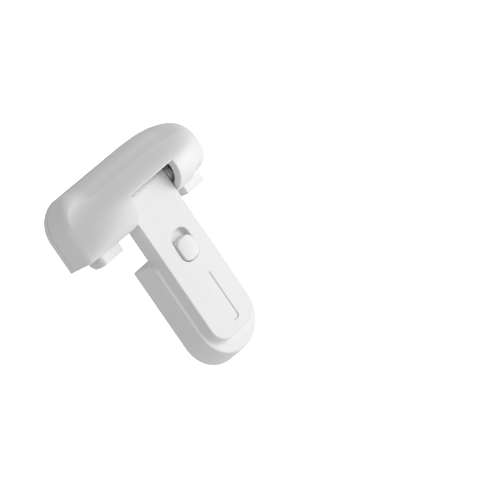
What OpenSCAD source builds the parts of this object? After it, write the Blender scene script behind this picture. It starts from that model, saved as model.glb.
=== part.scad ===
// Lever latch with a swinging cradle head, adhesive base and slide lock.
// X runs along the cradle, Z up the arm, the door is at +Y and the user at -Y.
// The origin is the centre of the adhesive face that is stuck to the door.

/* [Base] */
// Width of the base
base_w = 34.3; // [28:0.1:44]
// Length of the base
base_l = 57; // [48:0.5:72]
// Depth of the base rim
base_d = 14.1; // [11:0.1:18]
// How far the lower end leans in towards the front
end_lean = 3.4; // [0:0.1:5]
// Thickness of the adhesive pad
pad_t = 1.8; // [1:0.1:2.5]
// Wall thickness of the base
base_wall = 2.4; // [1.8:0.1:3]

/* [Arm] */
// Width of the arm
arm_w = 27.5; // [24:0.1:34]
// Depth of the arm's front face
arm_front = 18.1; // [16:0.1:22]
// Depth of the arm's back face
arm_back = 8.8; // [6:0.1:10]
// Height of the arm's rounded top above the base
arm_top = 31.85; // [28:0.05:36]
// Lower end of the arm's raised front below the top of the base
arm_foot = 45.2; // [38:0.1:48]
// Wall thickness of the arm
arm_wall = 1.8; // [1.4:0.1:2.4]

/* [Slide lock] */
// Width of the recess round the button
slot_w = 10.6; // [8:0.1:13]
// Length of the recess round the button
slot_l = 14.8; // [12:0.1:20]
// Sideways offset of the recess
slot_x = 0.8; // [-2:0.1:2]
// Height of the recess centre below the top of the base
slot_z = -1.5; // [-6:0.1:6]
// Corner radius of the recess
slot_r = 4; // [2:0.1:5]
// Travel of the slide button
travel = 3.2; // [2:0.1:4]
// Height of the button above the arm's front face
button_up = 1.3; // [0.8:0.1:3]

/* [Hinge] */
// Depth of the hinge axis
axis_d = 14.5; // [13:0.1:16]
// Height of the hinge axis above the base
axis_z = 26; // [24:0.1:28]
// Diameter of the hinge pin
pin_dia = 3; // [2.5:0.1:4]

/* [Head] */
// Width of the head across its back
head_w = 90.6; // [76:0.2:110]
// Depth of the head's back face
head_back_d = 2.5; // [2:0.1:4]
// Height of the head's rim above the base
head_top = 46.3; // [42:0.1:52]
// Height of the head's lower edge above the base
head_low = 17.8; // [15:0.1:20]
// Greatest depth of the front lobes
lobe_d = 26.4; // [22:0.1:32]
// Wall thickness of the head shell
shell_t = 2.4; // [1.8:0.1:3]
// Half width of the cutout for the arm
cut_half = 14.15; // [13.5:0.05:16]
// Wall thickness beside the cutout
rim_t = 4; // [2.4:0.1:5]

/* [Hidden] */

white = [0.93, 0.93, 0.92];
inner_white = [0.86, 0.86, 0.85];
steel = [0.72, 0.73, 0.75];
foam = [0.8, 0.81, 0.82];

eps = 0.01;
gap = 0.3;
fit = 0.05;
base_half = base_w / 2;
arm_half = arm_w / 2;
head_half = head_w / 2;
back_end_z = -(base_l - base_half);
front_end_z = back_end_z + end_lean;
end_r = 4.65;
end_d = arm_front - end_r;
end_z = arm_top - end_r;
slot_bottom = slot_z - slot_l / 2;
slot_floor_d = arm_front - 2.6;
button_low = slot_bottom + gap;
button_w = slot_w - 2 * gap;
button_l = slot_l - travel - 2 * gap - 0.5;
stem_w = 3.6;
stem_z = button_low + 3.4;
slider_back = arm_back + arm_wall + gap;
slider_t = 3;
slider_half = 7;
slider_low = -9.6;
slider_high = 5;
bolt_t = 1.75;
bolt_half = 4;
bolt_top = 30.3;
ball_r = 1;
ball_z = -6;
bore_l = 4.1;
cover_low = -18;
cover_high = 21.5;
cover_half = 10.4;
plate_t = 1.9;
door_gap = 0.25;
sweep_r = axis_d + pad_t - door_gap;
back_t = 2.2;
back_in = head_back_d + back_t;
lug_in = 14.65;
lug_t = 3;
lug_r = 3.4;
clip_x = lug_in + lug_t + 0.2;
keeper_half = 9;
keeper_z = 32.7;
keeper_t = 1.4;
keeper_d = slider_back - 0.4;
block_in = 22.2;
block_out = 35.6;
neck_mid = 28;
neck_half = 5.5;
block_front = 11.6;
block_low = 12.6;
block_high = 25;
block_r = 2.5;
screw_r = 1.1;
screw_head_r = 2.1;
base_screw_x = 11.2;
base_screw_z = [-6.5, -40];
cover_screw_x = 5.5;
tongue_half = 8;
cover_screw_z = -15.2;
head_screw_at = [[-38, 23], [37, 23], [-27, 40], [27, 39]];
shoulder_z = 27.5;
shoulder_r = 10.5;
body_d = 14.7;
end_depth = 12.4;
crest_z = 28.6;
swell_h = 14.5;
roll_d = 12;
roll_h = 7;
crease = 1.1;

// Everything below is drawn from the top back edge of the base housing.
module at_base() {
    translate([0, -pad_t, base_l / 2]) children();
}

// A cylinder along -Y that starts at depth d.
module rod_y(r, d, l, x = 0, z = 0, fn = 48) {
    translate([x, -d, z]) rotate([90, 0, 0]) cylinder(r = r, h = l, $fn = fn);
}

// A cylinder along X that is centred on x.
module rod_x(r, l, x = 0, d = axis_d, z = axis_z, fn = 64) {
    translate([x, -d, z]) rotate([0, 90, 0]) cylinder(r = r, h = l, center = true, $fn = fn);
}

// A block given by its x, depth and z limits.
module block(x0, x1, d0, d1, z0, z1) {
    translate([x0, -d1, z0]) cube([x1 - x0, d1 - d0, z1 - z0]);
}

// A flat shape in x and z, raised from depth d by t.
module slab(d, t) {
    translate([0, -d, 0]) rotate([90, 0, 0]) linear_extrude(height = t) children();
}

module base_outline(half, end, top = 0) {
    translate([-half, end]) square([2 * half, top - end]);
    translate([0, end]) circle(r = half, $fn = 96);
}

module arm_outline(grow) {
    corner_r = 8;
    offset(delta = grow)
        union() {
            translate([-arm_half, corner_r - arm_foot]) square([arm_w, arm_foot - corner_r]);
            translate([corner_r - arm_half, -arm_foot])
                square([arm_w - 2 * corner_r, corner_r + 1]);
            for (s = [-1, 1])
                translate([s * (arm_half - corner_r), corner_r - arm_foot])
                    circle(r = corner_r, $fn = 64);
        }
}

// A flat rectangle with round corners.
module tile(w, l, r, x, z) {
    for (sx = [-1, 1], sz = [-1, 1])
        translate([x + sx * (w / 2 - r), z + sz * (l / 2 - r)]) circle(r = r, $fn = 64);
    translate([x - w / 2, z - l / 2 + r]) square([w, l - 2 * r]);
    translate([x - w / 2 + r, z - l / 2]) square([w - 2 * r, l]);
}

// One layer of the hollow fillet between the ledge and the raised front.
module fillet_layer(d0, grow0, d1, grow1) {
    thin = 0.05;
    hull() {
        slab(d0, thin) arm_outline(grow0);
        slab(d1 - thin, thin) arm_outline(grow1);
    }
}

module base_body() {
    thin = 0.2;
    corner = 3.5;
    difference() {
        hull() {
            slab(0, thin) base_outline(base_half, back_end_z);
            slab(base_d - thin, thin) base_outline(base_half, front_end_z);
        }
        difference() {
            block(-base_w, base_w, base_d - corner, base_d + 1, -corner, 1);
            rod_x(corner, 3 * base_w, 0, base_d - corner, -corner);
        }
    }
    intersection() {
        union() {
            fillet_layer(base_d - 0.1, 2.3, base_d + 0.7, 1.15);
            fillet_layer(base_d + 0.65, 1.15, base_d + 2, 0.35);
            fillet_layer(base_d + 1.95, 0.35, arm_front, 0);
        }
        block(-base_w, base_w, 0, arm_front + 1, -base_l, -1);
    }
}

module arm_body() {
    block(-arm_half, arm_half, arm_back, arm_front, -10, end_z);
    rod_x(end_r, arm_w, 0, end_d, end_z);
}

module arm_housing() {
    line_x = 3.1;
    line_top = -17.6;
    line_low = -40.5;
    line_w = 0.5;
    line_d = 0.35;
    line_r = 1.1;
    color(white) at_base() difference() {
        union() {
            difference() {
                union() {
                    base_body();
                    arm_body();
                }
                // hollow of the base, open at the back
                slab(-1, base_d - base_wall + 1)
                    base_outline(base_half - base_wall, front_end_z, -base_wall);
                // hollow of the arm
                block(-arm_half + arm_wall, arm_half - arm_wall, arm_back + arm_wall,
                      arm_front - arm_wall, -36, 22);
                // opening for the arm cover
                block(-cover_half - fit, cover_half + fit, arm_back - 3, arm_back + arm_wall + eps,
                      -base_wall - 0.2, cover_high + fit);
            }
            // walls of the thumb recess
            slab(arm_front - 3.9, 2.2)
                tile(slot_w + 2.4, slot_l + 2.4, slot_r + 1.2, slot_x, slot_z);
            // rails that guide the slider
            for (s = [-1, 1])
                block(s * (slider_half + gap + 0.9) - 0.9, s * (slider_half + gap + 0.9) + 0.9,
                      slider_back, arm_front - arm_wall + eps, -13, 8);
            // bosses for the plate screws
            for (x = [-1, 1], z = base_screw_z)
                rod_y(2.6, plate_t + 0.3, base_d - base_wall - plate_t, x * base_screw_x, z);
            // bosses for the cover screws
            for (x = [-1, 1])
                rod_y(2.3, arm_back + arm_wall, 6, x * cover_screw_x, cover_screw_z);
            // blocks that carry the hinge bushes
            for (s = [-1, 1])
                block(s * (arm_half - 2.4) - 2, s * (arm_half - 2.4) + 2, arm_back + arm_wall - eps,
                      arm_front - arm_wall + eps, 21.5, 24);
        }
        // recess in which the button slides
        slab(slot_floor_d, 4) tile(slot_w, slot_l, slot_r, slot_x, slot_z);
        // slot for the stem in the floor of the recess
        block(slot_x - stem_w / 2 - gap, slot_x + stem_w / 2 + gap, arm_back + arm_wall + 1,
              arm_front, stem_z - stem_w / 2 - gap, stem_z + stem_w / 2 + travel + gap);
        // way for the bolt through the top of the arm
        block(-bolt_half - gap, bolt_half + gap, slider_back - gap,
              slider_back + bolt_t + gap, 15, arm_top + 2);
        // bores for the hinge bushes and the pin
        rod_x(pin_dia / 2 + 0.3, arm_w + 2);
        for (s = [-1, 1]) rod_x(pin_dia / 2 + 1, 4.4, s * arm_half);
        // groove and two dimples for the detent ball
        translate([slider_half + gap - 0.1, -slider_back - slider_t / 2, ball_z])
            cylinder(r = ball_r + 0.2, h = travel, $fn = 32);
        for (z = [0, travel])
            translate([slider_half, -slider_back - slider_t / 2, ball_z + z])
                sphere(r = ball_r + 0.35, $fn = 24);
        // screw holes
        for (x = [-1, 1], z = base_screw_z)
            rod_y(screw_r - 0.2, 0, 9, x * base_screw_x, z);
        for (x = [-1, 1])
            rod_y(screw_r - 0.2, arm_back, 7, x * cover_screw_x, cover_screw_z);
        // engraved index line
        slab(arm_front - line_d, 1) {
            translate([line_x - line_w / 2, line_low + line_r])
                square([line_w, line_top - line_low - line_r]);
            translate([-0.2, line_low - line_w / 2]) square([line_x - line_r + 0.2, line_w]);
            intersection() {
                translate([line_x - line_r, line_low + line_r]) difference() {
                    circle(r = line_r + line_w / 2, $fn = 48);
                    circle(r = line_r - line_w / 2, $fn = 48);
                }
                translate([line_x - line_r, line_low - 1]) square([3, line_r + 1]);
            }
        }
    }
}

module adhesive_pad() {
    inset = 2;
    color(foam) at_base() slab(-pad_t, pad_t)
        difference() {
            base_outline(base_half - inset, back_end_z, -inset);
            for (x = [-1, 1], z = base_screw_z)
                translate([x * base_screw_x, z]) circle(r = screw_head_r + 0.4, $fn = 32);
        }
}

module base_plate() {
    seat = base_wall + fit;
    color(inner_white) at_base() difference() {
        union() {
            slab(0, plate_t) base_outline(base_half - seat, front_end_z, -seat);
            for (z = [-14, -30]) block(-9, 9, plate_t - eps, plate_t + 2, z - 0.8, z + 0.8);
        }
        for (x = [-1, 1], z = base_screw_z) {
            rod_y(screw_r + 0.15, -1, plate_t + 2, x * base_screw_x, z);
            rod_y(screw_head_r + 0.2, -1, 2, x * base_screw_x, z);
        }
    }
}

module base_screws() {
    color(steel) at_base()
        for (x = [-1, 1], z = base_screw_z) difference() {
            union() {
                rod_y(screw_head_r, 0.1, 0.9, x * base_screw_x, z);
                rod_y(screw_r - 0.2, 0.9, 6.6, x * base_screw_x, z);
            }
            cross_slot(-0.1, 0.7, x * base_screw_x, z);
        }
}

// A cross recess that opens towards the door.
module cross_slot(d, depth, x, z) {
    arm = 1.1;
    thick = 0.22;
    block(x - arm, x + arm, d, d + depth, z - thick, z + thick);
    block(x - thick, x + thick, d, d + depth, z - arm, z + arm);
}

module arm_cover() {
    color(inner_white) at_base() difference() {
        union() {
            block(-cover_half, cover_half, arm_back, arm_back + arm_wall, -base_wall, cover_high);
            block(-tongue_half, tongue_half, arm_back, arm_back + arm_wall, cover_low, 0);
            block(-tongue_half, tongue_half, arm_back - 1.2, arm_back + eps, -8, -6.8);
        }
        for (x = [-1, 1])
            rod_y(screw_r + 0.15, arm_back - 1, arm_wall + 2, x * cover_screw_x, cover_screw_z);
    }
}

module arm_cover_screws() {
    color(steel) at_base()
        for (x = [-1, 1]) difference() {
            union() {
                rod_y(screw_head_r - 0.2, arm_back - 1.3, 1.3, x * cover_screw_x, cover_screw_z);
                rod_y(screw_r - 0.2, arm_back - 0.1, 6.2, x * cover_screw_x, cover_screw_z);
            }
            cross_slot(arm_back - 1.4, 0.7, x * cover_screw_x, cover_screw_z);
        }
}

module slide_button() {
    dome_r = 34;
    top_d = arm_front + button_up;
    mid_z = button_low + button_l / 2;
    color(white) at_base() difference() {
        union() {
            intersection() {
                slab(slot_floor_d + 0.15, 10)
                    tile(button_w, button_l, slot_r - gap, slot_x, mid_z);
                translate([slot_x, -top_d + dome_r, mid_z]) sphere(r = dome_r, $fn = 128);
            }
            block(slot_x - stem_w / 2, slot_x + stem_w / 2, slider_back + slider_t,
                  slot_floor_d + 0.2, stem_z - stem_w / 2, stem_z + stem_w / 2);
        }
        rod_y(0.8, slider_back, 5, slot_x, stem_z);
    }
}

module lock_slider() {
    color(inner_white) at_base() difference() {
        union() {
            block(-slider_half, slider_half, slider_back, slider_back + slider_t,
                  slider_low, slider_high);
            block(-bolt_half, bolt_half, slider_back, slider_back + bolt_t,
                  slider_high - 1, bolt_top);
        }
        rod_y(1.05, slider_back - 1, slider_t + 2, slot_x, stem_z);
        rod_y(1.9, slider_back - 1, 2.1, slot_x, stem_z);
        // bore for the detent spring and ball
        translate([slider_half - bore_l, -slider_back - slider_t / 2, ball_z]) rotate([0, 90, 0])
            cylinder(r = ball_r + fit, h = bore_l + 1, $fn = 32);
    }
}

module button_screw() {
    color(steel) at_base() difference() {
        union() {
            rod_y(1.7, slider_back + 0.1, 0.9, slot_x, stem_z);
            rod_y(0.8, slider_back + 0.9, 3.9, slot_x, stem_z);
        }
        block(slot_x - 1.2, slot_x + 1.2, slider_back, slider_back + 0.5, stem_z - 0.2, stem_z + 0.2);
    }
}

module detent_ball() {
    color(steel) at_base() translate([slider_half - ball_r + 0.5,
        -slider_back - slider_t / 2, ball_z]) sphere(r = ball_r - 0.02, $fn = 32);
}

module detent_spring() {
    rings = 5;
    length = bore_l - 1.7;
    wire = 0.2;
    color(steel) at_base() translate([slider_half - bore_l + 0.1, -slider_back - slider_t / 2, ball_z])
        rotate([0, 90, 0]) {
            for (i = [0 : rings - 1])
                translate([0, 0, wire + i * (length - 2 * wire) / (rings - 1)])
                    rotate_extrude($fn = 24) translate([0.62, 0]) circle(r = wire, $fn = 10);
            for (a = [0, 180]) rotate([0, 0, a]) translate([0.62, 0, wire])
                cylinder(r = wire * 0.8, h = length - 2 * wire, $fn = 10);
        }
}

module hinge_bushes() {
    color(inner_white) at_base()
        for (s = [-1, 1]) difference() {
            rod_x(pin_dia / 2 + 1, 2.1, s * (arm_half - 1.1));
            rod_x(pin_dia / 2 + fit, 6, s * (arm_half - 1.1));
        }
}

module hinge_pin() {
    half = clip_x + 1.6;
    color(steel) at_base() difference() {
        rod_x(pin_dia / 2, 2 * half);
        for (s = [-1, 1]) difference() {
            rod_x(pin_dia, 0.7, s * (clip_x + 0.3));
            rod_x(pin_dia / 2 - 0.4, 2, s * (clip_x + 0.3));
        }
    }
}

module pin_clips() {
    color(steel) at_base()
        for (s = [-1, 1]) difference() {
            rod_x(pin_dia / 2 + 1.1, 0.5, s * (clip_x + 0.3));
            rod_x(pin_dia / 2 - 0.38, 2, s * (clip_x + 0.3));
            translate([s * (clip_x + 0.3), -axis_d - 3, axis_z])
                cube([2, 6, 1.8], center = true);
        }
}

module hinge_washers() {
    color(inner_white) at_base()
        for (s = [-1, 1]) difference() {
            rod_x(pin_dia / 2 + 1.4, 0.4, s * (arm_half + 0.4));
            rod_x(pin_dia / 2 + fit, 2, s * (arm_half + 0.4));
        }
}

// Height of the rim at x: the right-hand corner is rounder than the left.
function rim_z(x) =
    x < 0
    ? (x > -31.8 ? head_top
       : head_top - 13.5 + sqrt(max(0, 13.5 * 13.5 - pow(x + 31.8, 2))))
    : (x < 5 ? head_top
       : shoulder_z + (head_top - shoulder_z)
         * pow(max(0, 1 - pow((x - 5) / (head_half - 5), 3)), 1 / 3));

// Front outline of the head as a list of points.
function head_outline(w, drop) = concat(
    [for (i = [0 : 40]) let (x = -head_half + head_half * pow(i / 40, 1.6))
        [x * w / head_half, rim_z(x) - drop]],
    [for (i = [39 : -1 : 0]) let (x = head_half - head_half * pow(i / 40, 1.6))
        [x * w / head_half, rim_z(x) - drop]],
    [for (a = [10 : 10 : 80])
        [w - shoulder_r * (1 - cos(a)), shoulder_z - drop - shoulder_r * sin(a)]],
    [[w - shoulder_r, 5], [-w, 5]]);

// The head's tapering envelope, inset by t.
module head_envelope(t) {
    thin = 0.05;
    lean = 0.311;
    far_d = 30;
    hull() {
        slab(head_back_d - 1, thin) polygon(head_outline(head_half + lean - t, t));
        slab(far_d, thin) polygon(head_outline(head_half - lean * (far_d - head_back_d) - t, t));
    }
}

// Greatest depth of the head's front at x: it falls away faster on the left.
function lobe_at(x) =
    let (fall = (x < 0 ? 0.00122 : 0.00092) * pow(max(0, abs(x) - 8), 2.65))
    end_depth + norm([max(lobe_d - fall - end_depth, 0), 1.2]);

// Share of the lobe's swell that is left at height h above its crest.
function swell(h) = h >= swell_h ? 0 : (1 + cos(180 * pow(h / swell_h, 1.2))) / 2;

// Rises smoothly from 0 at a to 1 at b.
function ease(v, a, b) =
    let (s = min(1, max(0, (v - a) / (b - a))))
    s * s * (3 - 2 * s);

// How far the rim's roll has set the front back at height h below the rim.
function roll(h, deep, high) =
    h >= high ? 0 : deep * (1 - sqrt(max(0, 1 - pow(1 - h / high, 2))));

// Outer section of the head at x as [depth, z] points, from the rim to the lower edge.
// The rim's roll dies out towards the ends by the share fade.
function head_section(x, fade) =
    let (
        D = lobe_at(x),
        body = min(body_d, D),
        c = max(0.1, (D - 13) / (lobe_d - 13)),
        top = max(rim_z(x), 38),
        deep = crease + (roll_d - crease) * fade,
        high = crease + (roll_h - crease) * fade,
        low = 16.9 + 0.9 * pow(abs(x) / 45, 2))
    concat(
        [for (i = [0 : 17]) let (h = (top - crest_z) * pow(i / 18, 1.7))
            [body + (D - body) * swell(top - h - crest_z) - roll(h, deep, high), top - h]],
        [
            [D, crest_z], [D - 0.1 * c, 26.9], [D - 0.8 * c, 24.8],
            [D - 2.0 * c, 22.7], [D - 3.8 * c, 20.8], [D - 6.2 * c, 19.2],
            [D - 9.0 * c, low + 1], [D - 12.5 * c, low]
        ]);

// The same section moved inwards by t along its own normals.
function inset_section(p, t) =
    [for (i = [0 : len(p) - 1])
        let (a = p[max(i - 1, 0)], b = p[min(i + 1, len(p) - 1)],
             v = b - a, n = norm(v))
        [p[i][0] + t * v[1] / n, p[i][1] - t * v[0] / n]];

function closed_section(x, t) =
    t == 0
    ? let (p = head_section(x, 1 - (x < 0 ? ease(-x, 22, 41.5) : 0.55 * ease(x, 25, 40))))
      concat([[head_back_d, p[0][1]]], p, [[head_back_d, head_low]])
    : let (q = inset_section(head_section(x, 1), t), e = q[len(q) - 1])
      concat([[head_back_d - 2, q[0][1]]], q, [[e[0], 8], [head_back_d - 2, 8]]);

// A solid swept along x through the sections.
module head_loft(t) {
    xs = [for (i = [-15 : 15]) 46 * sign(i) * pow(abs(i) / 15, 0.8)];
    rows = len(xs);
    cols = len(closed_section(0, t));
    points = [for (x = xs) for (p = closed_section(x, t)) [x, -p[0], p[1]]];
    sides = [for (i = [0 : rows - 2]) for (j = [0 : cols - 1])
        let (k = (j + 1) % cols)
        each [[i * cols + j, (i + 1) * cols + k, i * cols + k],
              [i * cols + j, (i + 1) * cols + j, (i + 1) * cols + k]]];
    first = [for (j = [0 : cols - 1]) j];
    last = [for (j = [cols - 1 : -1 : 0]) (rows - 1) * cols + j];
    polyhedron(points, concat(sides, [first], [last]), convexity = 6);
}

module head_shell() {
    lip_z = 31.1;
    rim_w = 2.2;
    rim_high = 35;
    color(white) at_base() difference() {
        union() {
            difference() {
                intersection() {
                    head_loft(0);
                    head_envelope(0);
                }
                difference() {
                    intersection() {
                        head_loft(shell_t);
                        head_envelope(shell_t);
                    }
                    // thicker walls beside the way for the arm
                    for (s = [-1, 1]) difference() {
                        block(s * (cut_half + rim_w / 2) - rim_w / 2,
                              s * (cut_half + rim_w / 2) + rim_w / 2, 0, 40, 0, rim_high);
                        head_loft(rim_t);
                    }
                }
                // way for the arm
                block(-cut_half, cut_half, 0, 40, 0, lip_z);
                // seat of the back cover
                block(-60, 60, 0, back_in, 0, 60);
            }
            // bosses for the cover screws
            for (p = head_screw_at)
                rod_y(2.6, back_in, p[1] > 30 ? 8 : 10, p[0], p[1]);
        }
        // room for the keeper plate and the raised bolt
        block(-keeper_half - gap, keeper_half + gap, 0, keeper_d + gap, keeper_z - gap,
              keeper_z + keeper_t + gap);
        block(-bolt_half - gap, bolt_half + gap, slider_back - gap, slider_back + bolt_t + gap,
              30, bolt_top + travel + 0.5);
        for (p = head_screw_at)
            rod_y(screw_r - 0.2, back_in - 1, p[1] > 30 ? 4.6 : 8, p[0], p[1]);
    }
}

module head_back() {
    color(white) at_base() difference() {
        union() {
            intersection() {
                block(-60, 60, head_back_d, back_in, head_low, 60);
                head_envelope(0);
            }
            // lugs that carry the hinge pin
            for (s = [-1, 1]) {
                block(s * (lug_in + lug_t / 2) - lug_t / 2, s * (lug_in + lug_t / 2) + lug_t / 2,
                      back_in - eps, axis_d, axis_z - lug_r, axis_z + lug_r);
                rod_x(lug_r, lug_t, s * (lug_in + lug_t / 2));
            }
            // ribs that seat the keeper plate
            for (s = [-1, 1])
                block(s * 7 - 1.4, s * 7 + 1.4, back_in - eps, 9.5, keeper_z - 1.8, keeper_z);
        }
        rod_x(pin_dia / 2, 60);
        for (p = head_screw_at) {
            rod_y(screw_r + 0.15, 0, 6, p[0], p[1]);
            rod_y(screw_head_r + 0.2, 0, head_back_d + 1.1, p[0], p[1]);
        }
        for (s = [-1, 1]) {
            rod_y(screw_r + 0.15, 0, 6, s * 29, 21.5);
            rod_y(screw_head_r + 0.2, 0, head_back_d + 1.1, s * 29, 21.5);
            translate([s * 7, -8, 20]) cylinder(r = 0.7, h = 14, $fn = 24);
        }
    }
}

module head_screws() {
    color(steel) at_base()
        for (p = head_screw_at) difference() {
            union() {
                rod_y(screw_head_r, head_back_d + 0.1, 1, p[0], p[1]);
                rod_y(screw_r - 0.2, head_back_d + 1, p[1] > 30 ? 4.6 : 7, p[0], p[1]);
            }
            cross_slot(head_back_d, 0.7, p[0], p[1]);
        }
}

module keeper_plate() {
    color(steel) at_base() difference() {
        block(-keeper_half, keeper_half, back_in + 0.1, keeper_d, keeper_z, keeper_z + keeper_t);
        for (s = [-1, 1]) translate([s * 7, -8, 30]) cylinder(r = 0.9, h = 6, $fn = 24);
    }
}

module keeper_screws() {
    color(steel) at_base()
        for (s = [-1, 1]) translate([s * 7, -8, 0]) {
            translate([0, 0, keeper_z - 1.6]) cylinder(r = 0.7, h = 3.2, $fn = 24);
            translate([0, 0, keeper_z + keeper_t]) cylinder(r = 1.5, h = 0.8, $fn = 32);
        }
}

module stop_block(s) {
    screw_z = 21.5;
    color(white) at_base() difference() {
        intersection() {
            union() {
                translate([0, 0, block_low]) linear_extrude(height = head_low - gap - block_low)
                    stop_outline(s, 3);
                // neck that stands inside the shell
                translate([s * neck_mid, 0, 0])
                    block(-neck_half, neck_half, back_in + fit, block_front - gap,
                          block_low + gap, block_high);
            }
            // keeps the lower back edge clear of the door as the head swings
            rod_x(sweep_r, 120, 0, axis_d, axis_z, 128);
        }
        rod_y(screw_r - 0.2, 2, 9, s * 29, screw_z);
    }
}

// Plan of a stop block with its outer front corner rounded.
module stop_outline(s, back) {
    near = min(s * block_in, s * block_out);
    intersection() {
        translate([near, -block_front]) square([block_out - block_in, block_front - back]);
        union() {
            translate([near - s * block_r, -block_front]) square([block_out - block_in, block_front]);
            translate([near, -block_front + block_r])
                square([block_out - block_in, block_front - block_r]);
            translate([s * (block_out - block_r), -block_front + block_r])
                circle(r = block_r, $fn = 64);
        }
    }
}

module stop_block_left() {
    stop_block(-1);
}

module stop_block_right() {
    stop_block(1);
}

module stop_screws() {
    color(steel) at_base()
        for (s = [-1, 1]) difference() {
            union() {
                rod_y(screw_head_r, head_back_d + 0.1, 1, s * 29, 21.5);
                rod_y(screw_r - 0.2, head_back_d + 1, 7, s * 29, 21.5);
            }
            cross_slot(head_back_d, 0.7, s * 29, 21.5);
        }
}

adhesive_pad();
base_plate();
base_screws();
arm_housing();
arm_cover();
arm_cover_screws();
slide_button();
lock_slider();
button_screw();
detent_ball();
detent_spring();
hinge_bushes();
hinge_pin();
pin_clips();
hinge_washers();
head_shell();
head_back();
head_screws();
keeper_plate();
keeper_screws();
stop_block_left();
stop_block_right();
stop_screws();
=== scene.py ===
"""The looks of a lever latch with a swinging cradle head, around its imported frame.

Lengths are in millimetres while a moulding is shaped and in metres in Blender. A moulding is shaped in
x, depth and z, where depth grows towards the user from the back of the base housing, and z is measured
from the top of the base housing.
"""

import math

import bpy
import numpy as np
from mathutils import Matrix, Vector


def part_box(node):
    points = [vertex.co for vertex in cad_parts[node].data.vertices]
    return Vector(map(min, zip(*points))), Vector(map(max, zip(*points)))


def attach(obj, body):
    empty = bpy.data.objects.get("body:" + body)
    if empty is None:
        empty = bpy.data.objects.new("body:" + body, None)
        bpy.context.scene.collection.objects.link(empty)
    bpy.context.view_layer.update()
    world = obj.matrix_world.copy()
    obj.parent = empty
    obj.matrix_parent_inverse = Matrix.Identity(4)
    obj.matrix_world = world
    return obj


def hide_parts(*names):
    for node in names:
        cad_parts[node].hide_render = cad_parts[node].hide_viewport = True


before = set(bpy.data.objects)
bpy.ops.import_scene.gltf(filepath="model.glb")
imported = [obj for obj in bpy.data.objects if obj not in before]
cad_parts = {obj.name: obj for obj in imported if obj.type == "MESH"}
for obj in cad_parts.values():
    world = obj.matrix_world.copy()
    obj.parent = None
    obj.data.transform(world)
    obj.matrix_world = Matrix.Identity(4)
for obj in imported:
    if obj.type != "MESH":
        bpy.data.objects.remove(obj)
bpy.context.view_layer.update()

MM = 0.001


def depth_box(node):
    """The limits of a CAD node in millimetres, as three (low, high) pairs for x, depth and z."""
    low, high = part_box(node)
    return (
        (low.x / MM, high.x / MM),
        (-high.y / MM - PAD_T, -low.y / MM - PAD_T),
        (low.z / MM - BASE_TOP, high.z / MM - BASE_TOP),
    )


PAD_T = -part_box("adhesive_pad")[0].y / MM
BASE_TOP = -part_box("arm_housing")[0].z / MM

HOUSING_X, HOUSING_D, HOUSING_Z = depth_box("arm_housing")
BUTTON_X, BUTTON_D, BUTTON_Z = depth_box("slide_button")
SHELL_X, SHELL_D, SHELL_Z = depth_box("head_shell")
BACK_X, BACK_D, BACK_Z = depth_box("head_back")
_, PIN_D, PIN_Z = depth_box("hinge_pin")

AXIS_D = sum(PIN_D) / 2
AXIS_Z = sum(PIN_Z) / 2
PIN_R = (PIN_D[1] - PIN_D[0]) / 2


# ---------------------------------------------------------------- shaping


def both(a, b, r=0.0):
    """The part inside both shapes, with its outer edge rounded to radius r."""
    if np.ndim(r) == 0 and r == 0:
        return np.maximum(a, b)
    outside = np.hypot(np.maximum(a + r, 0), np.maximum(b + r, 0))
    return np.minimum(-r, np.maximum(a, b)) + outside


def either(a, b, r=0.0):
    """The two shapes joined, with a hollow fillet of radius r between them."""
    return -both(-a, -b, r)


def without(a, b, r=0.0):
    """Shape a with shape b cut out of it, and the cut's edge rounded to radius r."""
    return both(a, -b, r)


def between(v, low, high):
    return np.maximum(low - v, v - high)


def box(x, d, z, xs, ds, zs):
    return np.maximum(np.maximum(between(x, *xs), between(d, *ds)), between(z, *zs))


def rod_d(x, d, z, at, r, ds):
    """A round rod along the depth axis at (x, z)."""
    return both(np.hypot(x - at[0], z - at[1]) - r, between(d, *ds))


def rod_x(x, d, z, r, xs):
    """A round rod along the hinge axis."""
    return both(np.hypot(d - AXIS_D, z - AXIS_Z) - r, between(x, *xs))


def tile(x, z, width, length, r, at):
    """A flat rectangle with round corners."""
    return both(np.abs(x - at[0]) - width / 2, np.abs(z - at[1]) - length / 2, r)


def steps(low, high, step, fine=()):
    """Grid lines from low to high, closer together inside each (low, high, step) of fine."""
    margin = 1.5 * step
    marks = [low - margin]
    while marks[-1] < high + margin:
        here = marks[-1]
        near = [s for a, b, s in fine if a - step < here < b]
        marks.append(here + min(near, default=step))
    return np.array(marks)


def value_at(shape, p):
    """The value of shape at points given as x, y and z, where y runs against depth."""
    return shape(p[:, 0], -p[:, 1], p[:, 2])


def slopes(shape, p, reach=0.02):
    """How shape grows along x, y and z at each point."""
    found = []
    for axis in range(3):
        move = np.zeros(3)
        move[axis] = reach
        found.append(value_at(shape, p + move) - value_at(shape, p - move))
    return np.stack(found, 1) / (2 * reach)


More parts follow.
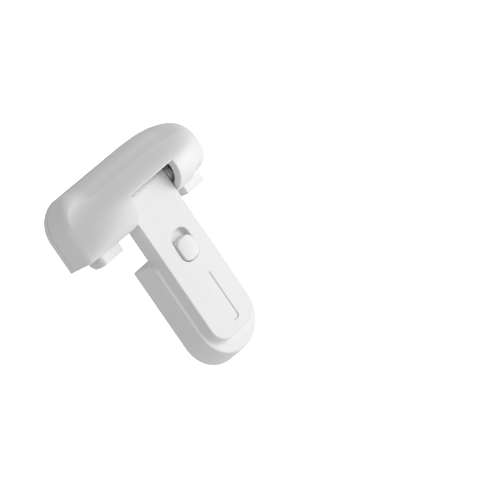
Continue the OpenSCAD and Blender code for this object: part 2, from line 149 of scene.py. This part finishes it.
def skin(shape, axes):
    """Points, outward directions and quads of shape's surface on a grid of lines along x, y and z.

    One point lies in each cell that the surface passes through. One quad goes round each grid edge
    that it cuts.
    """
    grid = np.meshgrid(*axes, indexing="ij")
    value = shape(grid[0], -grid[1], grid[2])
    cells = tuple(len(a) - 1 for a in axes)
    total = np.zeros((cells[0] * cells[1] * cells[2], 3))
    count = np.zeros(len(total))
    quads = []
    for axis in range(3):
        u, v = (axis + 1) % 3, (axis + 2) % 3
        near = [slice(None)] * 3
        far = [slice(None)] * 3
        near[axis], far[axis] = slice(0, -1), slice(1, None)
        first, second = value[tuple(near)], value[tuple(far)]
        at = np.argwhere((first < 0) != (second < 0))
        inner = (at[:, u] > 0) & (at[:, v] > 0) & (at[:, u] < cells[u]) & (at[:, v] < cells[v])
        at = at[inner]
        a, b = first[tuple(at.T)], second[tuple(at.T)]
        cut = np.stack([axes[k][at[:, k]] for k in range(3)], 1)
        cut[:, axis] += a / (a - b) * (axes[axis][at[:, axis] + 1] - axes[axis][at[:, axis]])
        corners = []
        for back_u, back_v in ((1, 1), (0, 1), (0, 0), (1, 0)):
            cell = at.copy()
            cell[:, u] -= back_u
            cell[:, v] -= back_v
            flat = np.ravel_multi_index(cell.T, cells)
            corners.append(flat)
            count += np.bincount(flat, minlength=len(count))
            for k in range(3):
                total[:, k] += np.bincount(flat, cut[:, k], len(count))
        ring = np.stack(corners, 1)
        quads.append(np.where((a < 0)[:, None], ring, ring[:, ::-1]))
    quads = np.concatenate(quads)
    used = np.flatnonzero(count)
    number = np.full(len(count), -1)
    number[used] = np.arange(len(used))
    points = total[used] / count[used, None]
    reach = 0.5 * min(np.diff(a).min() for a in axes)
    for _ in range(4):
        slope = slopes(shape, points)
        steep = np.maximum((slope**2).sum(1, keepdims=True), 0.1)
        move = slope * value_at(shape, points)[:, None] / steep
        points -= np.clip(move, -reach, reach)
    out = slopes(shape, points, 0.06)
    out /= np.maximum(np.linalg.norm(out, axis=1, keepdims=True), 1e-9)
    return points, out, number[quads]


def moulding(name, shape, box_mm, step, fine=((), (), ())):
    """A Blender object of shape inside box_mm, given as (low, high) pairs for x, depth and z."""
    xs, ds, zs = box_mm
    axes = (
        steps(*xs, step, fine[0]),
        -steps(*ds, step, fine[1])[::-1],
        steps(*zs, step, fine[2]),
    )
    points, out, quads = skin(shape, axes)
    place = (points + np.array([0, -PAD_T, BASE_TOP])) * MM
    mesh = bpy.data.meshes.new(name)
    mesh.vertices.add(len(place))
    mesh.vertices.foreach_set("co", place.astype(np.float32).ravel())
    mesh.loops.add(quads.size)
    mesh.loops.foreach_set("vertex_index", quads.astype(np.int32).ravel())
    mesh.polygons.add(len(quads))
    mesh.polygons.foreach_set("loop_start", np.arange(0, quads.size, 4, dtype=np.int32))
    mesh.update(calc_edges=True)
    mesh.validate()
    mesh.polygons.foreach_set("use_smooth", np.ones(len(mesh.polygons), bool))
    mesh.normals_split_custom_set_from_vertices(out.astype(np.float32))
    piece = bpy.data.objects.new(name, mesh)
    bpy.context.scene.collection.objects.link(piece)
    return piece


# ---------------------------------------------------------------- base and arm

BASE_HALF = HOUSING_X[1]
BASE_D = 14.1
BASE_WALL = 2.4
END_LEAN = 3.4
BACK_END_Z = HOUSING_Z[0] + BASE_HALF
ARM_HALF = 13.75
ARM_FRONT = HOUSING_D[1]
ARM_TOP = HOUSING_Z[1]
ARM_BACK = 8.8
ARM_WALL = 1.8
ARM_FOOT = -45.2
END_R = (ARM_FRONT - ARM_BACK) / 2
SLOT_W = 10.6
SLOT_L = 14.8
SLOT_R = 4
SLOT_AT = (sum(BUTTON_X) / 2, -1.5)
SLOT_FLOOR = ARM_FRONT - 2.6
STEM_HALF = 1.8
STEM_Z = BUTTON_Z[0] + 3.4
SCREW_R = 0.9
PLATE_SCREWS = [(x, z) for x in (-11.2, 11.2) for z in (-6.5, -40)]
COVER_SCREWS = [(-5.5, -15.2), (5.5, -15.2)]
LINE_X = 3.1
LINE_TOP = -17.6
LINE_LOW = -40.5
LINE_BEND = 1.1
LINE_FOOT = -0.2
LINE_HALF = 0.28
LINE_DEEP = 0.45
FAR = 9
BASE_FRONT_R = 3.5
BASE_EDGE_R = 0.7
BACK_EDGE_R = 0.3
ARM_EDGE_R = 0.5
ARM_LOW = -4
FOOT_R = 8
RAISED_TOP = -1
RAISED_BACK = 5
ARM_FILLET = 1.9
ARM_HOLLOW_Z = (-36, 22)
WAY_HALF = 10.45
WAY_BACK = 5.8
WAY_TOP = 21.55
SLOT_WALL = 1.2
SLOT_WALL_D = 3.9
SKIN_T = 1
BOSS_R = 2.6
SMALL_BOSS_R = 2.3
PLATE_BOSS_BACK = 2.2
PLATE_SCREW_END = 9
COVER_SCREW_END = 15.8
STEM_GAP = 0.3
STEM_WAY_UP = 3.5
STEM_WAY_BACK = 11.6
BOLT_WAY_X = (-4.3, 4.3)
BOLT_WAY_D = (10.6, 12.95)
ARM_BOLT_Z = (15, 34)
PIN_GAP = 0.3
BUSH_T = 1
BUSH_DEEP = 2.2


def base_outline(x, d, z, inset=0.0):
    """The outline of the base with its round lower end, which leans in towards the front."""
    centre = BACK_END_Z + END_LEAN * np.clip(d / BASE_D, 0, 1)
    return np.hypot(x, np.minimum(z - centre, 0)) - (BASE_HALF - inset)


def engraved_line(x, z):
    """Distance from the middle of the engraved line, which turns left at its lower end."""
    upright = np.hypot(x - LINE_X, z - np.clip(z, LINE_LOW + LINE_BEND, LINE_TOP))
    foot = np.hypot(x - np.clip(x, LINE_FOOT, LINE_X - LINE_BEND), z - LINE_LOW)
    bend_x, bend_z = x - (LINE_X - LINE_BEND), z - (LINE_LOW + LINE_BEND)
    bend = np.abs(np.hypot(bend_x, bend_z) - LINE_BEND)
    bend = np.where((bend_x > 0) & (bend_z < 0), bend, FAR)
    return np.minimum(np.minimum(upright, foot), bend)


def housing(x, d, z):
    """The base housing and the arm, which are one moulding."""
    base = both(both(z, d - BASE_D, BASE_FRONT_R), base_outline(x, d, z), BASE_EDGE_R)
    base = both(base, -d, BACK_EDGE_R)
    end = np.hypot(np.maximum(z - (ARM_TOP - END_R), 0), d - (ARM_FRONT - END_R)) - END_R
    arm = both(both(np.abs(x) - ARM_HALF, end, ARM_EDGE_R), ARM_LOW - z)
    raised = both(both(np.abs(x) - ARM_HALF, ARM_FOOT - z, FOOT_R), d - ARM_FRONT, ARM_EDGE_R)
    raised = both(both(raised, z - RAISED_TOP), RAISED_BACK - d)
    solid = either(base, np.minimum(arm, raised), ARM_FILLET)
    hollow = both(base_outline(x, np.full_like(d, BASE_D), z, BASE_WALL), z + BASE_WALL)
    hollow = both(hollow, d - (BASE_D - BASE_WALL))
    inner = ARM_HALF - ARM_WALL
    arm_hollow = box(x, d, z, (-inner, inner), (ARM_BACK + ARM_WALL, ARM_FRONT - ARM_WALL), ARM_HOLLOW_Z)
    way_z = (-BASE_WALL - 0.2, WAY_TOP)
    way_in = box(x, d, z, (-WAY_HALF, WAY_HALF), (WAY_BACK, ARM_BACK + ARM_WALL), way_z)
    solid = without(without(without(solid, hollow, 0.2), arm_hollow), way_in)
    wall = tile(x, z, SLOT_W + 2 * SLOT_WALL, SLOT_L + 2 * SLOT_WALL, SLOT_R + SLOT_WALL, SLOT_AT)
    wall = both(wall, between(d, ARM_FRONT - SLOT_WALL_D, ARM_FRONT - SKIN_T))
    solid = np.minimum(solid, wall)
    for at in PLATE_SCREWS:
        solid = np.minimum(solid, rod_d(x, d, z, at, BOSS_R, (PLATE_BOSS_BACK, BASE_D - SKIN_T)))
        solid = without(solid, rod_d(x, d, z, at, SCREW_R, (0, PLATE_SCREW_END)))
    for at in COVER_SCREWS:
        boss_d = (ARM_BACK + ARM_WALL, ARM_FRONT - SKIN_T)
        solid = np.minimum(solid, rod_d(x, d, z, at, SMALL_BOSS_R, boss_d))
        solid = without(solid, rod_d(x, d, z, at, SCREW_R, (ARM_BACK, COVER_SCREW_END)))
    solid = without(solid, both(tile(x, z, SLOT_W, SLOT_L, SLOT_R, SLOT_AT), SLOT_FLOOR - d, 0.5), 0.4)
    stem_way = (STEM_Z - STEM_HALF - STEM_GAP, STEM_Z + STEM_HALF + STEM_WAY_UP)
    reach = (SLOT_AT[0] - STEM_HALF - STEM_GAP, SLOT_AT[0] + STEM_HALF + STEM_GAP)
    solid = without(solid, box(x, d, z, reach, (STEM_WAY_BACK, ARM_FRONT), stem_way), 0.15)
    solid = without(solid, box(x, d, z, BOLT_WAY_X, BOLT_WAY_D, ARM_BOLT_Z), 0.2)
    solid = without(solid, rod_x(x, d, z, PIN_R + PIN_GAP, (-15, 15)))
    for side in (-ARM_HALF, ARM_HALF):
        solid = without(solid, rod_x(x, d, z, PIN_R + BUSH_T, (side - BUSH_DEEP, side + BUSH_DEEP)))
    line = both(engraved_line(x, z) - LINE_HALF, ARM_FRONT - LINE_DEEP - d, 0.1)
    return without(solid, line, 0.06)


# ---------------------------------------------------------------- button

BUTTON_AT = (sum(BUTTON_X) / 2, sum(BUTTON_Z) / 2)
BUTTON_W = BUTTON_X[1] - BUTTON_X[0]
BUTTON_L = BUTTON_Z[1] - BUTTON_Z[0]
DOME_R = 34


def button(x, d, z):
    """The slide button with a slightly domed top, and the stem that joins it to the slider."""
    away = np.hypot(x - BUTTON_AT[0], z - BUTTON_AT[1])
    dome = np.hypot(away, d - (BUTTON_D[1] - DOME_R)) - DOME_R
    cap = both(tile(x, z, BUTTON_W, BUTTON_L, SLOT_R - 0.3, BUTTON_AT), dome, 0.45)
    cap = both(cap, SLOT_FLOOR + 0.15 - d, 0.2)
    low, high = SLOT_AT[0] - STEM_HALF, SLOT_AT[0] + STEM_HALF
    stem = box(x, d, z, (low, high), (BUTTON_D[0], SLOT_FLOOR + 1), (STEM_Z - STEM_HALF, STEM_Z + STEM_HALF))
    whole = np.minimum(cap, stem)
    return without(whole, rod_d(x, d, z, (SLOT_AT[0], STEM_Z), 0.8, (5, 15.9)))


# ---------------------------------------------------------------- head

HEAD_HALF = BACK_X[1]
HEAD_TOP = BACK_Z[1]
HEAD_BACK_D = BACK_D[0]
BACK_IN = SHELL_D[0]
LOBE_D = SHELL_D[1]
TAPER = 0.311
BODY_D = 14.7
END_D = 12.4
CREST_Z = 28.6
CREASE_R = 1.1
TOP_ROLL = (12.2, 7)
ROLL_POWER = 1.6
SWELL_H = 14.5
CUT_HALF = 14.15
LIP_Z = 31.1
SHELL_T = 2.4
RIM_T = 4.0
RIM_OUT = CUT_HALF + 2.2
RIM_HIGH = 35
HEAD_SCREWS = [(-38, 23), (37, 23), (-27, 40), (27, 39)]
STOP_SCREWS = [(-29, 21.5), (29, 21.5)]
NECK_MID = 28
NECK_HALF = 5.5
NECK_FROM = 0.6
BLOCK_R = 2.5
SWEEP_GAP = 0.25
LUG_IN = 14.65
LUG_T = 3
LUG_R = 3.4
RIB_X = 7
RIB_HALF = 1.4
RIB_D = 9.5
RIB_Z = (30.9, 32.7)
KEEPER_HOLE = (8, 0.7)
KEEPER_HOLE_Z = (20, 34)
THROUGH_R = 1.25
SINK_R = 2.3
SINK_DEEP = 1.1
LOBE_FALL = (0.00122, 0.00092)
LOBE_FLAT = 8
LOBE_POWER = 2.65
END_BLEND = 1.2
SWELL_POWER = 1.2
TURN_DEEP = 16
TURN_FROM = 13
TURN_LEAST = 0.08
TURN_HIGH = 12
TURN_STOP = 0.9995
LOW_EDGE = 16.9
LOW_EDGE_RISE = 0.9
LOW_EDGE_SPAN = 45
CREASE_X = (22, 41.5)
RIGHT_X = (25, 40)
RIGHT_HIGH_LESS = 0.5
RIGHT_DEEP_LESS = 0.65
SQUEEZE_Z = (34, 41.5)
HEAD_BOLT_Z = (30, 34.6)


def front_depth(x, z):
    """Depth of the head's front surface.

    It falls away towards both ends, swells out of a shallow body below the top and turns under at
    the bottom.
    """
    lobe = LOBE_D - np.where(x < 0, *LOBE_FALL) * np.maximum(np.abs(x) - LOBE_FLAT, 0) ** LOBE_POWER
    lobe = END_D + np.hypot(np.maximum(lobe - END_D, 0), END_BLEND)
    high = np.clip((z - CREST_Z) / SWELL_H, 0, 1) ** SWELL_POWER
    body = np.minimum(BODY_D, lobe)
    above = body + (lobe - body) * (1 + np.cos(math.pi * high)) / 2
    turn = TURN_DEEP * np.maximum((lobe - TURN_FROM) / (LOBE_D - TURN_FROM), TURN_LEAST)
    down = np.clip((CREST_Z - z) / TURN_HIGH, 0, TURN_STOP)
    below = lobe - turn * (1 - np.sqrt(1 - down**2))
    return np.where(z > CREST_Z, above, below)


def head_front(x, d, z):
    """Roughly the distance in front of the head's front surface, too short where the surface is steep."""
    reach = 0.05
    here = front_depth(x, z)
    across = (front_depth(x + reach, z) - here) / reach
    up = (front_depth(x, z + reach) - here) / reach
    return (d - here) / np.sqrt(1 + across**2 + up**2)


def rim_points():
    """The head's outline from its lower left end over the top to its lower right end."""
    corner = 13.5
    bend = HEAD_HALF - corner
    left = [(-HEAD_HALF, 0)]
    for turn in np.linspace(0, math.pi / 2, 60):
        left.append((-bend - corner * math.cos(turn), HEAD_TOP - corner + corner * math.sin(turn)))
    start, foot, power, low_corner = 5, 27.5, 3, 10.5
    right = []
    for turn in np.linspace(math.pi / 2, 0, 160):
        right.append(
            (
                start + (HEAD_HALF - start) * max(math.cos(turn), 0) ** (2 / power),
                foot + (HEAD_TOP - foot) * math.sin(turn) ** (2 / power),
            )
        )
    for turn in np.linspace(0, math.pi / 2, 40):
        right.append(
            (
                HEAD_HALF - low_corner * (1 - math.cos(turn)),
                foot - low_corner * math.sin(turn),
            )
        )
    return np.array(left + right)


def outline_table(points, step=0.25):
    """Signed distance from an outline that is open below, on a grid of x and z."""
    xs = np.arange(-HEAD_HALF - 6, HEAD_HALF + 6, step)
    zs = np.arange(4, HEAD_TOP + 6, step)
    gx, gz = np.meshgrid(xs, zs, indexing="ij")
    best = np.full(gx.shape, 1e9)
    for (ax, az), (bx, bz) in zip(points[:-1], points[1:]):
        ex, ez = bx - ax, bz - az
        share = np.clip(((gx - ax) * ex + (gz - az) * ez) / max(ex * ex + ez * ez, 1e-12), 0, 1)
        best = np.minimum(best, np.hypot(gx - ax - share * ex, gz - az - share * ez))
    inside = np.zeros(gx.shape, bool)
    loop = np.vstack([points, [points[-1, 0], -9], [points[0, 0], -9]])
    for (ax, az), (bx, bz) in zip(loop, np.roll(loop, -1, 0)):
        if az != bz:
            crosses = (az > gz) != (bz > gz)
            inside ^= crosses & (gx < ax + (gz - az) * (bx - ax) / (bz - az))
    return xs, zs, np.where(inside, -best, best)


RIM_XS, RIM_ZS, RIM_FAR = outline_table(rim_points())


def head_side(x, d, z):
    """Distance outside the head's outline, which tapers towards the front."""
    wide = x * HEAD_HALF / (HEAD_HALF - TAPER * (d - HEAD_BACK_D))
    step = RIM_XS[1] - RIM_XS[0]
    u = np.clip((wide - RIM_XS[0]) / step, 0, len(RIM_XS) - 1.001)
    v = np.clip((z - RIM_ZS[0]) / step, 0, len(RIM_ZS) - 1.001)
    i, j = u.astype(int), v.astype(int)
    a, b = u - i, v - j
    low = RIM_FAR[i, j] * (1 - a) + RIM_FAR[i + 1, j] * a
    high = RIM_FAR[i, j + 1] * (1 - a) + RIM_FAR[i + 1, j + 1] * a
    return low * (1 - b) + high * b


def head_low(x):
    """Height of the shell's lower edge."""
    return LOW_EDGE + LOW_EDGE_RISE * (x / LOW_EDGE_SPAN) ** 2


def ease(v, start, end):
    """Rises smoothly from 0 at start to 1 at end."""
    share = np.clip((v - start) / (end - start), 0, 1)
    return share * share * (3 - 2 * share)


def rolled(x, d, z):
    """Distance outside the head's side and front, which has no lower edge here.

    Its top rolls over to the front, less so towards the right end, and its left end is creased.
    """
    along_top = 1 - ease(-x, *CREASE_X)
    right = ease(x, *RIGHT_X)
    high = CREASE_R + (TOP_ROLL[1] - CREASE_R) * along_top * (1 - RIGHT_HIGH_LESS * right)
    deep = CREASE_R + (TOP_ROLL[0] - CREASE_R) * along_top * (1 - RIGHT_DEEP_LESS * right)
    squeeze = 1 + (high / deep - 1) * ease(z, *SQUEEZE_Z)
    side, front = head_side(x, d, z), head_front(x, d, z) * squeeze
    past_side = np.maximum(side + high, 0) ** ROLL_POWER
    past_front = np.maximum(front + high, 0) ** ROLL_POWER
    corner = (past_side + past_front) ** (1 / ROLL_POWER)
    return np.minimum(-high, np.maximum(side, front)) + corner


def head_shell(x, d, z):
    """The hollow front of the head, with a cutout for the arm.

    It is open at the back and towards the ends of its lower edge. Beside the cutout a thin torn sheet
    lies across that edge. It is a fault, left by head_front being too short there, and the CAD is open.
    """
    outer = rolled(x, d, z)
    near_cut = (np.abs(x) < RIM_OUT) & (z < RIM_HIGH)
    cavity = outer + np.where(near_cut, RIM_T, SHELL_T)
    solid = without(both(outer, head_low(x) - z, 0.5), cavity, 0.25)
    way = both(np.abs(x) - CUT_HALF, z - LIP_Z)
    solid = without(solid, way, 0.6)
    solid = both(solid, BACK_IN - d, 0.2)
    for at in HEAD_SCREWS:
        long = 6 if at[1] > 30 else 8
        solid = np.minimum(solid, rod_d(x, d, z, at, BOSS_R, (BACK_IN, BACK_IN + long)))
        solid = without(solid, rod_d(x, d, z, at, SCREW_R, (0, BACK_IN + long)))
    return without(solid, box(x, d, z, BOLT_WAY_X, BOLT_WAY_D, HEAD_BOLT_Z))


def head_back(x, d, z):
    """The flat cover on the back of the head, with the lugs that carry the hinge pin."""
    plate = both(head_side(x, d, z), BACK_Z[0] - z, 0.3)
    plate = both(plate, HEAD_BACK_D - d, 0.4)
    plate = both(plate, d - BACK_IN)
    for side in (-1, 1):
        lug = np.hypot(np.maximum(d - AXIS_D, 0), z - AXIS_Z) - LUG_R
        lug = both(lug, np.abs(x - side * (LUG_IN + LUG_T / 2)) - LUG_T / 2, 0.3)
        plate = either(plate, both(lug, BACK_IN - 1 - d), 0.4)
        middle = side * RIB_X
        rib = box(x, d, z, (middle - RIB_HALF, middle + RIB_HALF), (BACK_IN - 1, RIB_D), RIB_Z)
        plate = np.minimum(plate, rib)
        hole_d, hole_r = KEEPER_HOLE
        plate = without(plate, both(np.hypot(x - middle, d - hole_d) - hole_r, between(z, *KEEPER_HOLE_Z)))
    plate = without(plate, rod_x(x, d, z, PIN_R, (-30, 30)))
    for at in HEAD_SCREWS + STOP_SCREWS:
        plate = without(plate, rod_d(x, d, z, at, THROUGH_R, (0, 6)))
        plate = without(plate, rod_d(x, d, z, at, SINK_R, (0, HEAD_BACK_D + SINK_DEEP)), 0.15)
    return plate


def stop_block(side):
    """The shape and the limits of a stop block, whose narrower neck goes up into the head."""
    xs, ds, zs = depth_box("stop_block_right" if side > 0 else "stop_block_left")
    near, far = sorted(abs(v) for v in xs)
    sweep_r = AXIS_D + PAD_T - SWEEP_GAP

    def shape(x, d, z):
        across = side * x
        solid = both(both(across - far, d - ds[1], BLOCK_R), near - across, 0.5)
        solid = both(solid, between(z, *zs), 0.5)
        inside = z > head_low(x) + NECK_FROM
        solid = both(solid, np.where(inside, BACK_IN + 0.05, ds[0]) - d, 0.15)
        solid = both(solid, np.where(inside, np.abs(across - NECK_MID) - NECK_HALF, -FAR), 0.15)
        solid = both(solid, np.hypot(d - AXIS_D, z - AXIS_Z) - sweep_r, 0.2)
        return without(solid, rod_d(x, d, z, (side * 29, 21.5), SCREW_R, (2, 11)))

    return shape, (xs, ds, zs)


# ---------------------------------------------------------------- materials


def new_material(name, colour, roughness, **sockets):
    """A node material with a Principled shader. Returns the material, its nodes, its links and the shader."""
    material = bpy.data.materials.new(name)
    material.use_nodes = True
    nodes, links = material.node_tree.nodes, material.node_tree.links
    shader = nodes["Principled BSDF"]
    shader.inputs["Base Color"].default_value = (*colour, 1)
    shader.inputs["Roughness"].default_value = roughness
    for socket, value in sockets.items():
        shader.inputs[socket.replace("_", " ")].default_value = value
    return material, nodes, links, shader


def noise(nodes, links, place, scale, detail=2.0, roughness=0.5):
    made = nodes.new("ShaderNodeTexNoise")
    made.inputs["Scale"].default_value = scale
    made.inputs["Detail"].default_value = detail
    made.inputs["Roughness"].default_value = roughness
    links.new(place, made.inputs["Vector"])
    return made.outputs["Fac"]


def remap(nodes, links, value, low, high):
    made = nodes.new("ShaderNodeMapRange")
    made.inputs["To Min"].default_value = low
    made.inputs["To Max"].default_value = high
    links.new(value, made.inputs["Value"])
    return made.outputs["Result"]


def tinted(nodes, links, value, dark, light):
    made = nodes.new("ShaderNodeMix")
    made.data_type = "RGBA"
    made.inputs["A"].default_value = (*dark, 1)
    made.inputs["B"].default_value = (*light, 1)
    links.new(value, made.inputs["Factor"])
    return made.outputs["Result"]


def moulded_plastic(name, dark, light, roughness, grain):
    """White plastic with a fine moulded grain, faint flow marks and a slightly uneven gloss."""
    material, nodes, links, shader = new_material(name, light, roughness, Specular_IOR_Level=0.45)
    place = nodes.new("ShaderNodeTexCoord").outputs["Object"]
    flow = noise(nodes, links, place, 45, 3.0)
    links.new(tinted(nodes, links, flow, dark, light), shader.inputs["Base Color"])
    gloss = noise(nodes, links, place, 260, 2.0)
    links.new(remap(nodes, links, gloss, roughness - 0.05, roughness + 0.05), shader.inputs["Roughness"])
    bump = nodes.new("ShaderNodeBump")
    bump.inputs["Strength"].default_value = grain
    bump.inputs["Distance"].default_value = 0.00002
    links.new(noise(nodes, links, place, 3200, 2.0, 0.6), bump.inputs["Height"])
    links.new(bump.outputs["Normal"], shader.inputs["Normal"])
    return material


def brushed_steel(name):
    """Bright steel with fine turning marks."""
    material, nodes, links, shader = new_material(name, (0.62, 0.63, 0.65), 0.3, Metallic=1.0)
    place = nodes.new("ShaderNodeTexCoord").outputs["Object"]
    stretch = nodes.new("ShaderNodeMapping")
    stretch.inputs["Scale"].default_value = (0.2, 1, 1)
    links.new(place, stretch.inputs["Vector"])
    marks = noise(nodes, links, stretch.outputs["Vector"], 4200, 3.0, 0.6)
    links.new(remap(nodes, links, marks, 0.22, 0.4), shader.inputs["Roughness"])
    cloud = noise(nodes, links, place, 300, 2.0)
    colour = tinted(nodes, links, cloud, (0.52, 0.53, 0.55), (0.68, 0.69, 0.71))
    links.new(colour, shader.inputs["Base Color"])
    return material


def foam_tape(name):
    """Closed-cell adhesive foam, matt and finely pitted, with painted shade in the pits."""
    material, nodes, links, shader = new_material(name, (0.8, 0.81, 0.82), 0.85)
    place = nodes.new("ShaderNodeTexCoord").outputs["Object"]
    cells = nodes.new("ShaderNodeTexVoronoi")
    cells.inputs["Scale"].default_value = 1500
    links.new(place, cells.inputs["Vector"])
    pits = cells.outputs["Distance"]
    # Painted shade: the colour darkens towards the bottom of each pit and lightens on the ridges between
    # them, on top of their bump.
    colour = tinted(nodes, links, pits, (0.68, 0.69, 0.7), (0.86, 0.87, 0.88))
    links.new(colour, shader.inputs["Base Color"])
    bump = nodes.new("ShaderNodeBump")
    bump.inputs["Strength"].default_value = 0.5
    bump.inputs["Distance"].default_value = 0.0001
    links.new(pits, bump.inputs["Height"])
    links.new(bump.outputs["Normal"], shader.inputs["Normal"])
    return material


MATERIALS = {
    "white_plastic": moulded_plastic(
        "white_plastic_moulded", (0.8, 0.8, 0.795), (0.86, 0.86, 0.857), 0.42, 0.25
    ),
    "inner_plastic": moulded_plastic(
        "inner_plastic_moulded", (0.66, 0.66, 0.65), (0.72, 0.72, 0.71), 0.55, 0.4
    ),
    "steel": brushed_steel("steel_brushed"),
    "foam_tape": foam_tape("foam_tape_pitted"),
}


def dress(piece, slot):
    """Gives a piece one material in all its slots."""
    piece.data.materials.clear()
    piece.data.materials.append(MATERIALS[slot])


# ---------------------------------------------------------------- pieces

def add(name, shape, box_mm, step, body, node, slot, fine=((), (), ())):
    piece = moulding(name, shape, box_mm, step, fine)
    dress(piece, slot)
    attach(piece, body)
    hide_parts(node)
    return piece


add(
    "arm_moulding",
    housing,
    (HOUSING_X, HOUSING_D, HOUSING_Z),
    0.45,
    "base",
    "arm_housing",
    "white_plastic",
    (
        [(-0.5, 3.5, 0.17)],
        [(17.4, 18.2, 0.16)],
        [(-40.9, -39.2, 0.17)],
    ),
)
add("button_cap", button, (BUTTON_X, BUTTON_D, BUTTON_Z), 0.25, "slider", "slide_button", "white_plastic")
add("cradle_front", head_shell, (SHELL_X, SHELL_D, SHELL_Z), 0.4, "head", "head_shell", "white_plastic")
add("cradle_back", head_back, (BACK_X, BACK_D, BACK_Z), 0.4, "head", "head_back", "white_plastic")
for side, word in ((-1, "left"), (1, "right")):
    shape, limits = stop_block(side)
    add(f"stop_{word}", shape, limits, 0.3, "head", f"stop_block_{word}", "white_plastic")

CAD_SLOTS = {
    "adhesive_pad": "foam_tape",
    "base_plate": "inner_plastic",
    "arm_cover": "white_plastic",
    "lock_slider": "inner_plastic",
    "hinge_bushes": "inner_plastic",
    "hinge_washers": "inner_plastic",
}


for node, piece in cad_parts.items():
    if piece.hide_render:
        continue
    dress(piece, CAD_SLOTS.get(node, "steel"))

# ---------------------------------------------------------------- stage, light and camera

AZIMUTH = math.radians(-37.783)
ELEVATION = math.radians(10.988)
ROLL = math.radians(34.114)
DISTANCE = 1.0478
LENS = 179.4
LATCH_LEFT = 0.03737
LATCH_BELOW = 0.00286
AMBIENT = 0.495
FLOOR_Z = -0.6


def camera_axes():
    """The camera's right, up and backward directions."""
    back = Vector(
        (
            math.sin(AZIMUTH) * math.cos(ELEVATION),
            -math.cos(AZIMUTH) * math.cos(ELEVATION),
            math.sin(ELEVATION),
        )
    )
    right = (-back).cross(Vector((0, 0, 1))).normalized()
    up = right.cross(-back)
    turn_right = right * math.cos(ROLL) - up * math.sin(ROLL)
    turn_up = right * math.sin(ROLL) + up * math.cos(ROLL)
    return turn_right, turn_up, back


RIGHT, UP, BACK = camera_axes()


def make_camera():
    data = bpy.data.cameras.new("camera")
    data.lens = LENS
    data.sensor_width = 36
    data.clip_start, data.clip_end = 0.05, 20
    camera = bpy.data.objects.new("camera", data)
    bpy.context.scene.collection.objects.link(camera)
    corner = Vector((0, -PAD_T, BASE_TOP)) * MM
    camera.matrix_world = Matrix.Translation(
        corner + BACK * DISTANCE + RIGHT * LATCH_LEFT + UP * LATCH_BELOW
    ) @ Matrix((RIGHT, UP, BACK)).transposed().to_4x4()
    bpy.context.scene.camera = camera


def softbox(name, direction, distance, size, power):
    """A square area light that faces the latch from that direction."""
    data = bpy.data.lights.new(name, "AREA")
    data.size = size
    data.energy = power
    light = bpy.data.objects.new(name, data)
    bpy.context.scene.collection.objects.link(light)
    direction = direction.normalized()
    facing = direction.to_track_quat("Z", "Y").to_matrix().to_4x4()
    light.matrix_world = Matrix.Translation(direction * distance) @ facing


def make_world():
    world = bpy.data.worlds.new("studio")
    world.use_nodes = True
    nodes, links = world.node_tree.nodes, world.node_tree.links
    background = nodes["Background"]
    background.inputs["Color"].default_value = (1, 1, 1, 1)
    path = nodes.new("ShaderNodeLightPath")
    strength = nodes.new("ShaderNodeMapRange")
    strength.inputs["To Min"].default_value = AMBIENT
    strength.inputs["To Max"].default_value = 1.2
    links.new(path.outputs["Is Camera Ray"], strength.inputs["Value"])
    links.new(strength.outputs["Result"], background.inputs["Strength"])
    bpy.context.scene.world = world


def make_floor():
    """A pale floor well below the latch, which in use hangs on a door."""
    bpy.ops.mesh.primitive_grid_add(x_subdivisions=8, y_subdivisions=8, size=12, location=(0, 0, FLOOR_Z))
    floor = bpy.context.object
    floor.name = "floor"
    material, nodes, links, shader = new_material("floor_white", (0.9, 0.9, 0.9), 0.9)
    shader.inputs["Emission Color"].default_value = (1, 1, 1, 1)
    path = nodes.new("ShaderNodeLightPath")
    glow = remap(nodes, links, path.outputs["Is Camera Ray"], 0.12, 1.0)
    links.new(glow, shader.inputs["Emission Strength"])
    place = nodes.new("ShaderNodeTexCoord").outputs["Object"]
    colour = tinted(nodes, links, noise(nodes, links, place, 2), (0.89, 0.89, 0.89), (0.91, 0.91, 0.91))
    links.new(colour, shader.inputs["Base Color"])
    floor.data.materials.append(material)


make_camera()
make_world()
make_floor()
softbox("key", Vector((0.7, -0.69, -0.14)), 0.8, 0.7, 4.35)
bpy.context.scene.view_settings.view_transform = "Standard"
